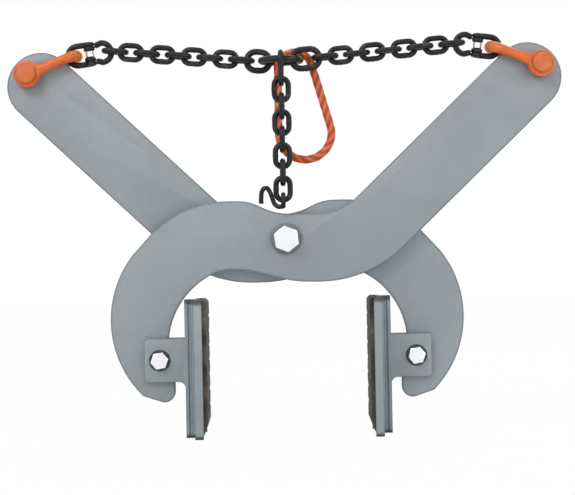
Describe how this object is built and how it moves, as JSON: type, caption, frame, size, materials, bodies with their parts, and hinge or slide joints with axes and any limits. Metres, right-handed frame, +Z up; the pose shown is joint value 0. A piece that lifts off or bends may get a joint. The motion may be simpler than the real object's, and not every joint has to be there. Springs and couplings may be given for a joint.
{
  "type": "kerb lifting clamp",
  "caption": "Scissor-action kerb lifting clamp: crossed plate arms on one pivot, swivelling rubber-faced jaws, shackled two-leg chain with a ring, pear-shaped lifting link and drop chain.",
  "frame": {"origin": "centre of the bounding box, at the bottom of the jaws that the clamp stands on", "axes": "+Z up, +X to the right across the jaws, +Y to the rear; the bolt heads face -Y"},
  "size_m": [0.796, 0.112, 0.5737],
  "materials": {
    "arm_paint": "satin grey paint",
    "rubber": "matt moulded rubber",
    "zinc": "bright zinc plating",
    "orange": "orange paint",
    "orange_red": "red-orange paint",
    "chain_black": "black lacquer"
  },
  "bodies": {
    "pivot": {"pivot_bolt": "zinc", "pivot_washer_front": "zinc", "pivot_spacer": "zinc", "pivot_washer_rear": "zinc", "pivot_nut": "zinc"},
    "front_arm": {"arm_front": "arm_paint"},
    "rear_arm": {"arm_rear": "arm_paint"},
    "jaw_left": {"jaw_shoe_left": "arm_paint", "jaw_rubber_left": "rubber", "jaw_bolt_left": "zinc", "jaw_nut_left": "zinc"},
    "shackle_left": {"shackle_bow_left": "orange", "shackle_pin_left": "orange", "shackle_nut_left": "orange"},
    "coupling_left": {"coupling_outer_left": "chain_black", "coupling_inner_left": "chain_black", "coupling_sleeve_left": "zinc", "coupling_pin_left": "chain_black"},
    "chain_left": {"chain_left_01": "chain_black", "chain_left_02": "chain_black", "chain_left_03": "chain_black", "chain_left_04": "chain_black", "chain_left_05": "chain_black", "chain_left_06": "chain_black", "chain_left_07": "chain_black", "chain_left_08": "chain_black", "chain_left_09": "chain_black", "chain_left_end": "chain_black"},
    "jaw_right": {"jaw_shoe_right": "arm_paint", "jaw_rubber_right": "rubber", "jaw_bolt_right": "zinc", "jaw_nut_right": "zinc"},
    "shackle_right": {"shackle_bow_right": "orange", "shackle_pin_right": "orange", "shackle_nut_right": "orange"},
    "coupling_right": {"coupling_outer_right": "chain_black", "coupling_inner_right": "chain_black", "coupling_sleeve_right": "zinc", "coupling_pin_right": "chain_black"},
    "chain_right": {"chain_right_01": "chain_black", "chain_right_02": "chain_black", "chain_right_03": "chain_black", "chain_right_04": "chain_black", "chain_right_05": "chain_black", "chain_right_06": "chain_black", "chain_right_07": "chain_black", "chain_right_08": "chain_black", "chain_right_09": "chain_black", "chain_right_end": "chain_black"},
    "hub": {"hub_ring": "chain_black"},
    "pear": {"pear_link": "orange_red"},
    "drop_chain": {"drop_chain_01": "chain_black", "drop_chain_02": "chain_black", "drop_chain_03": "chain_black", "drop_chain_04": "chain_black", "drop_chain_05": "chain_black", "drop_chain_06": "chain_black", "drop_chain_07": "chain_black", "drop_chain_top": "chain_black"},
    "drop_hook": {"drop_hook": "chain_black"}
  },
  "joints": [
    {"name": "scissor_front", "type": "hinge", "parent": "pivot", "child": "front_arm", "pos_m": [0, -0.0095, 0.281], "axis": [0, -1, 0], "range_deg": [0, 6.5]},
    {"name": "scissor_rear", "type": "hinge", "parent": "pivot", "child": "rear_arm", "pos_m": [0, 0.0095, 0.281], "axis": [0, 1, 0], "range_deg": [0, 6.5]},
    {"name": "jaw_swivel_left", "type": "hinge", "parent": "front_arm", "child": "jaw_left", "pos_m": [-0.1837, -0.0095, 0.111], "axis": [0, 1, 0], "range_deg": [0, 12]},
    {"name": "shackle_swing_left", "type": "hinge", "parent": "rear_arm", "child": "shackle_left", "pos_m": [-0.36711, 0.0095, 0.52424], "axis": [0, -1, 0], "range_deg": [0, 41.5]},
    {"name": "coupling_swing_left", "type": "hinge", "parent": "shackle_left", "child": "coupling_left", "pos_m": [-0.29709, 0.0095, 0.55111], "axis": [0, -1, 0], "range_deg": [-24, 0]},
    {"name": "chain_swing_left", "type": "hinge", "parent": "coupling_left", "child": "chain_left", "pos_m": [-0.24776, 0.0095, 0.55717], "axis": [0, -1, 0], "range_deg": [-4.53, 0]},
    {"name": "jaw_swivel_right", "type": "hinge", "parent": "rear_arm", "child": "jaw_right", "pos_m": [0.1837, 0.0095, 0.111], "axis": [0, -1, 0], "range_deg": [0, 12]},
    {"name": "shackle_swing_right", "type": "hinge", "parent": "front_arm", "child": "shackle_right", "pos_m": [0.36711, -0.0095, 0.52424], "axis": [0, 1, 0], "range_deg": [0, 41.5]},
    {"name": "coupling_swing_right", "type": "hinge", "parent": "shackle_right", "child": "coupling_right", "pos_m": [0.29709, -0.0095, 0.55111], "axis": [0, 1, 0], "range_deg": [-24, 0]},
    {"name": "chain_swing_right", "type": "hinge", "parent": "coupling_right", "child": "chain_right", "pos_m": [0.24776, -0.0095, 0.55717], "axis": [0, 1, 0], "range_deg": [-4.67, 0]},
    {"name": "ring_rise", "type": "slide", "parent": "pivot", "child": "hub", "axis": [0, 0, 1], "range_m": [0, 0.1114]},
    {"name": "pear_swing", "type": "hinge", "parent": "hub", "child": "pear", "pos_m": [0.0207, 0.012, 0.5372], "axis": [0, -1, 0], "range_deg": [0, 150]},
    {"name": "drop_swing", "type": "hinge", "parent": "hub", "child": "drop_chain", "pos_m": [-0.0032, -0.028, 0.53819], "axis": [-1, 0, 0], "range_deg": [0, 35]},
    {"name": "hook_swing", "type": "hinge", "parent": "drop_chain", "child": "drop_hook", "pos_m": [-0.0032, -0.0288, 0.33639], "axis": [-1, 0, 0], "range_deg": [0, 30]}
  ],
  "couplings": [
    {"joint": "scissor_rear", "follows": "scissor_front", "ratio": 1},
    {"joint": "shackle_swing_left", "follows": "scissor_front", "ratio": 6.3846},
    {"joint": "coupling_swing_left", "follows": "scissor_front", "ratio": -3.6923},
    {"joint": "chain_swing_left", "follows": "scissor_front", "ratio": -0.69692},
    {"joint": "shackle_swing_right", "follows": "scissor_front", "ratio": 6.3846},
    {"joint": "coupling_swing_right", "follows": "scissor_front", "ratio": -3.6923},
    {"joint": "chain_swing_right", "follows": "scissor_front", "ratio": -0.71846},
    {"joint": "ring_rise", "follows": "scissor_front", "m_per_rad": 0.98196}
  ]
}
